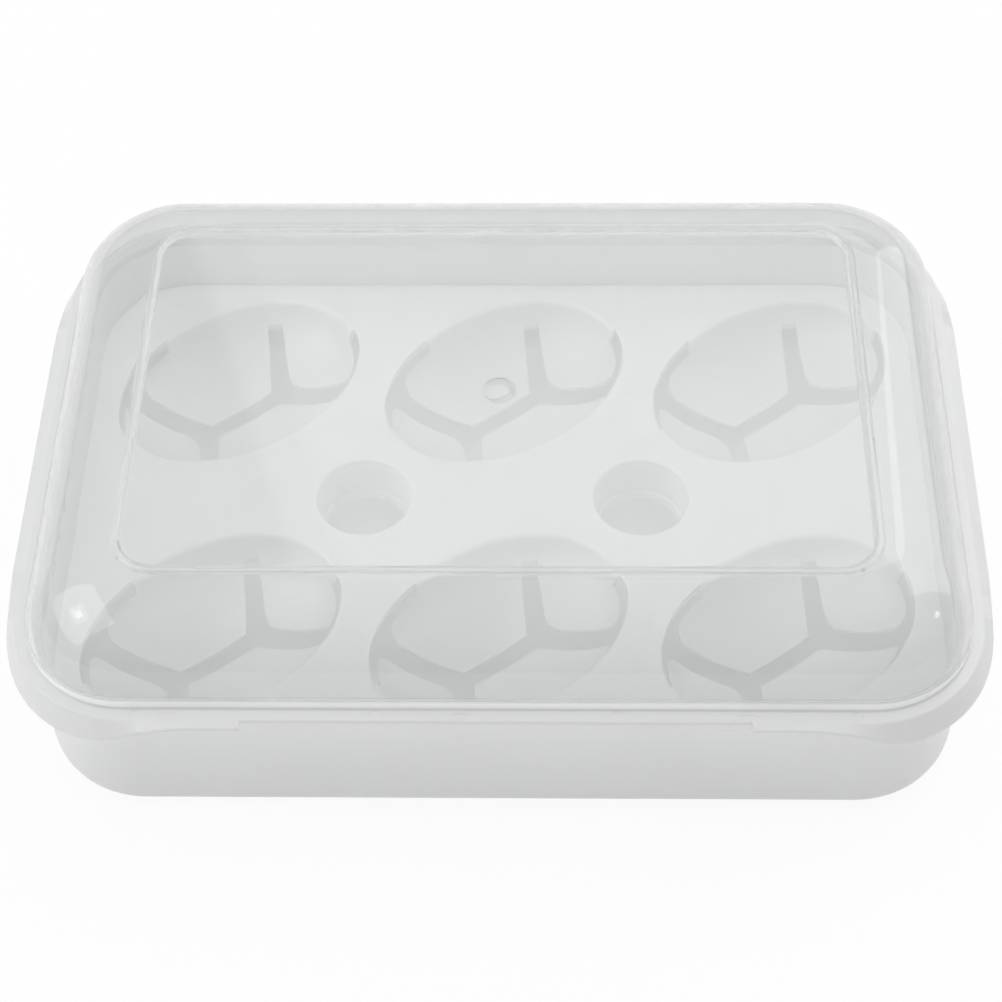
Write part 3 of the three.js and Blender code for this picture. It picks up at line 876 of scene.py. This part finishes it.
def area_lamp(name, place, aim, size, power, lean=0.0):
    """A rectangular lamp that shines from its place to its aim and leans about that line."""
    lamp = bpy.data.lights.new(name, "AREA")
    lamp.shape = "RECTANGLE"
    lamp.size, lamp.size_y = size
    lamp.energy = power
    obj = bpy.data.objects.new(name, lamp)
    obj.location = place
    turn = (Vector(aim) - Vector(place)).to_track_quat("-Z", "Y")
    obj.rotation_euler = (turn @ Quaternion((0, 0, 1), lean)).to_euler()
    bpy.context.scene.collection.objects.link(obj)


def build_lamps():
    """The lamps that the lid mirrors, with sizes in metres, power in watts and lean in radians."""
    middle = (0, 0, LID_TOP / 2)
    back, core = (0.35, 1.2, 1.475), (0.36, 1.15, 1.415)
    area_lamp("back_softbox", back, (back[0], 0, back[2]), size=(1.3, 1.15), power=3, lean=0.1)
    area_lamp("back_softbox_core", core, (core[0], 0, core[2]), size=(1.2, 1.1), power=1.5, lean=0.1)
    area_lamp("right_softbox", (1.09, 0.71, 0.75), middle, size=(0.95, 1.3), power=4.5)
    area_lamp("left_softbox", (-1.005, -0.235, 0.82), middle, size=(1, 1), power=4)
    area_lamp("left_glow", (-0.936, -0.212, 0.76), middle, size=(0.3, 0.3), power=0.3)
    area_lamp("left_lamp", (-0.883, -0.2, 0.719), middle, size=(0.13, 0.13), power=0.12)
    area_lamp("right_lamp", (1.193, -0.063, 0.502), middle, size=(0.1, 0.1), power=0.15)


def build_camera():
    """The photograph's camera, from the pitch, yaw, roll and distance fitted to its outlines."""
    turn = Matrix.Rotation(-CAMERA_YAW, 3, "Z")
    right = Vector((1, 0, 0))
    forward = Vector((0, math.cos(CAMERA_PITCH), -math.sin(CAMERA_PITCH)))
    up = Vector((0, math.sin(CAMERA_PITCH), math.cos(CAMERA_PITCH)))
    offset = right * CAMERA_OFFSET_X + up * CAMERA_OFFSET_Y - forward * CAMERA_DISTANCE
    rolled_right = math.cos(CAMERA_ROLL) * right - math.sin(CAMERA_ROLL) * up
    rolled_up = math.sin(CAMERA_ROLL) * right + math.cos(CAMERA_ROLL) * up
    axes = Matrix((turn @ rolled_right, turn @ rolled_up, turn @ -forward)).transposed()
    data = bpy.data.cameras.new("camera")
    data.sensor_fit = "HORIZONTAL"
    data.sensor_width = SENSOR_WIDTH_MM
    data.lens = FOCAL_PIXELS / PHOTO_PIXELS * SENSOR_WIDTH_MM
    camera = bpy.data.objects.new("camera", data)
    camera.matrix_world = Matrix.Translation(turn @ offset + Vector((0, 0, TRAY_TOP))) @ axes.to_4x4()
    bpy.context.scene.collection.objects.link(camera)
    bpy.context.scene.camera = camera


build_camera()
milky = plastic(
    "milky_plastic", base_painted_light_and_shade, colour=(0.88, 0.885, 0.885), transmission=0.2, roughness=0.3,
    haze_scale=40, haze_depth=0.04, lamp_share=0.95,
)
tray_plastic = plastic(
    "tray_plastic", tray_painted_light, colour=(0.83, 0.835, 0.835), transmission=0.1, roughness=0.35,
    haze_scale=40, haze_depth=0.04, lamp_share=1, cloud_reach=2.5 * MM,
)
clear = plastic(
    "clear_plastic", lid_painted_light_and_shade, colour=(0.83, 0.835, 0.835), transmission=lid_transmission,
    roughness=0.04, haze_scale=25, haze_depth=0.02, lamp_share=1,
)
finish_piece(base_piece(), "base", "base", milky)
finish_piece(tray_piece(), "egg_tray", "egg_tray", tray_plastic)
finish_piece(lid_piece(), "lid", "lid", clear)
build_stage()
build_world()
build_lamps()

bpy.context.scene.view_settings.view_transform = "Standard"
